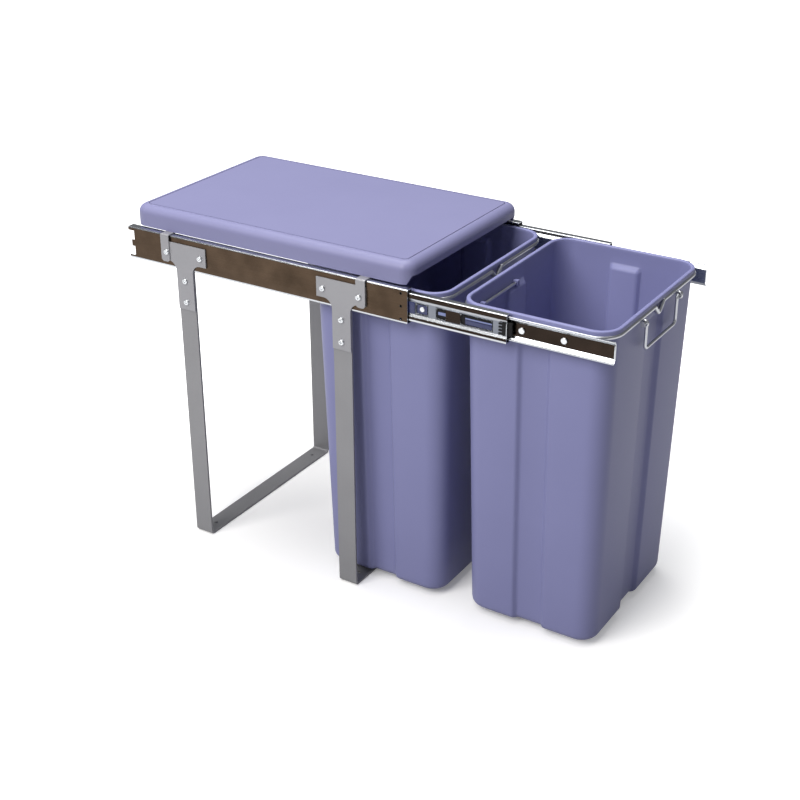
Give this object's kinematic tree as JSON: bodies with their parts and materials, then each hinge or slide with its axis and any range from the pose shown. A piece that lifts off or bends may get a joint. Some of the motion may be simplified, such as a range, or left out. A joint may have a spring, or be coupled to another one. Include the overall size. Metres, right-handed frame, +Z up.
{
  "type": "pull out bin frame",
  "caption": "Free-standing steel frame with full-extension side slides that carry tapered plastic bins on wire rings, under a fixed moulded lid, with a swinging wire pull.",
  "frame": {"origin": "on the floor, under the middle of the standing frame: the centre of the floor screw holes, at the floor bars' undersides", "axes": "+Z up; -Y is the way the bins pull out; -X is the left side seen from the front"},
  "size_m": [0.3148, 0.7265, 0.4888],
  "materials": {
    "frame_paint": "satin silver-grey powder coat",
    "rail_zinc": "bright zinc plate on cold-rolled strip",
    "wire": "zinc-plated wire",
    "rivet_steel": "plated steel",
    "screw_zinc": "zinc plate",
    "cage_steel": "plain strip with a film of grease",
    "ball_steel": "polished bearing steel",
    "bumper_plastic": "moulded black nylon",
    "lid_plastic": "moulded, fine satin",
    "bin_plastic": "moulded, fine satin"
  },
  "bodies": {
    "frame": {"leg_frame_rear": "frame_paint", "leg_frame_front": "frame_paint", "lid": "lid_plastic", "outer_rail_left": "rail_zinc", "outer_rail_right": "rail_zinc", "outer_bumper_left": "bumper_plastic", "outer_bumper_right": "bumper_plastic", "joining_plate_front_left": "frame_paint", "joining_plate_front_right": "frame_paint", "joining_plate_rear_left": "frame_paint", "joining_plate_rear_right": "frame_paint", "lid_hook_front_left": "frame_paint", "lid_hook_front_right": "frame_paint", "lid_hook_rear_left": "frame_paint", "lid_hook_rear_right": "frame_paint", "plate_screws_left": "screw_zinc", "plate_screws_right": "screw_zinc", "lid_screws_left": "screw_zinc", "lid_screws_right": "screw_zinc"},
    "drawer": {"bin_front": "bin_plastic", "bin_rear": "bin_plastic", "liner_rod_front": "wire", "liner_rod_rear": "wire", "ring_front": "wire", "ring_rear": "wire", "inner_rail_left": "rail_zinc", "inner_rail_right": "rail_zinc", "bracket_rivets_left": "rivet_steel", "bracket_rivets_right": "rivet_steel", "stop_rivet_left": "rivet_steel", "stop_rivet_right": "rivet_steel", "ring_bracket_front_left": "rail_zinc", "ring_bracket_front_right": "rail_zinc", "ring_bracket_rear_left": "rail_zinc", "ring_bracket_rear_right": "rail_zinc"},
    "handle": {"pull_handle": "wire"},
    "middle_left": {"middle_rail_left": "rail_zinc", "middle_bumper_left": "bumper_plastic"},
    "outer_cage_left": {"outer_cage_left": "cage_steel", "outer_balls_left": "ball_steel"},
    "inner_cage_left": {"inner_cage_left": "cage_steel", "inner_balls_left": "ball_steel"},
    "middle_right": {"middle_rail_right": "rail_zinc", "middle_bumper_right": "bumper_plastic"},
    "outer_cage_right": {"outer_cage_right": "cage_steel", "outer_balls_right": "ball_steel"},
    "inner_cage_right": {"inner_cage_right": "cage_steel", "inner_balls_right": "ball_steel"}
  },
  "joints": [
    {"name": "drawer_slide", "type": "slide", "parent": "frame", "child": "drawer", "axis": [0, -1, 0], "range_m": [-0.273, 0.177]},
    {"name": "outer_cage_left_slide", "type": "slide", "parent": "frame", "child": "outer_cage_left", "axis": [0, -1, 0], "range_m": [-0.06825, 0.04425]},
    {"name": "middle_left_slide", "type": "slide", "parent": "frame", "child": "middle_left", "axis": [0, -1, 0], "range_m": [-0.1365, 0.0885]},
    {"name": "inner_cage_left_slide", "type": "slide", "parent": "frame", "child": "inner_cage_left", "axis": [0, -1, 0], "range_m": [-0.20475, 0.13275]},
    {"name": "outer_cage_right_slide", "type": "slide", "parent": "frame", "child": "outer_cage_right", "axis": [0, -1, 0], "range_m": [-0.06825, 0.04425]},
    {"name": "middle_right_slide", "type": "slide", "parent": "frame", "child": "middle_right", "axis": [0, -1, 0], "range_m": [-0.1365, 0.0885]},
    {"name": "inner_cage_right_slide", "type": "slide", "parent": "frame", "child": "inner_cage_right", "axis": [0, -1, 0], "range_m": [-0.20475, 0.13275]},
    {"name": "pull_handle_hinge", "type": "hinge", "parent": "drawer", "child": "handle", "pos_m": [0, -0.4961, 0.4405], "axis": [-1, 0, 0], "range_deg": [0, 160]}
  ],
  "couplings": [
    {"joint": "outer_cage_left_slide", "follows": "drawer_slide", "ratio": 0.25},
    {"joint": "middle_left_slide", "follows": "drawer_slide", "ratio": 0.5},
    {"joint": "inner_cage_left_slide", "follows": "drawer_slide", "ratio": 0.75},
    {"joint": "outer_cage_right_slide", "follows": "drawer_slide", "ratio": 0.25},
    {"joint": "middle_right_slide", "follows": "drawer_slide", "ratio": 0.5},
    {"joint": "inner_cage_right_slide", "follows": "drawer_slide", "ratio": 0.75}
  ]
}
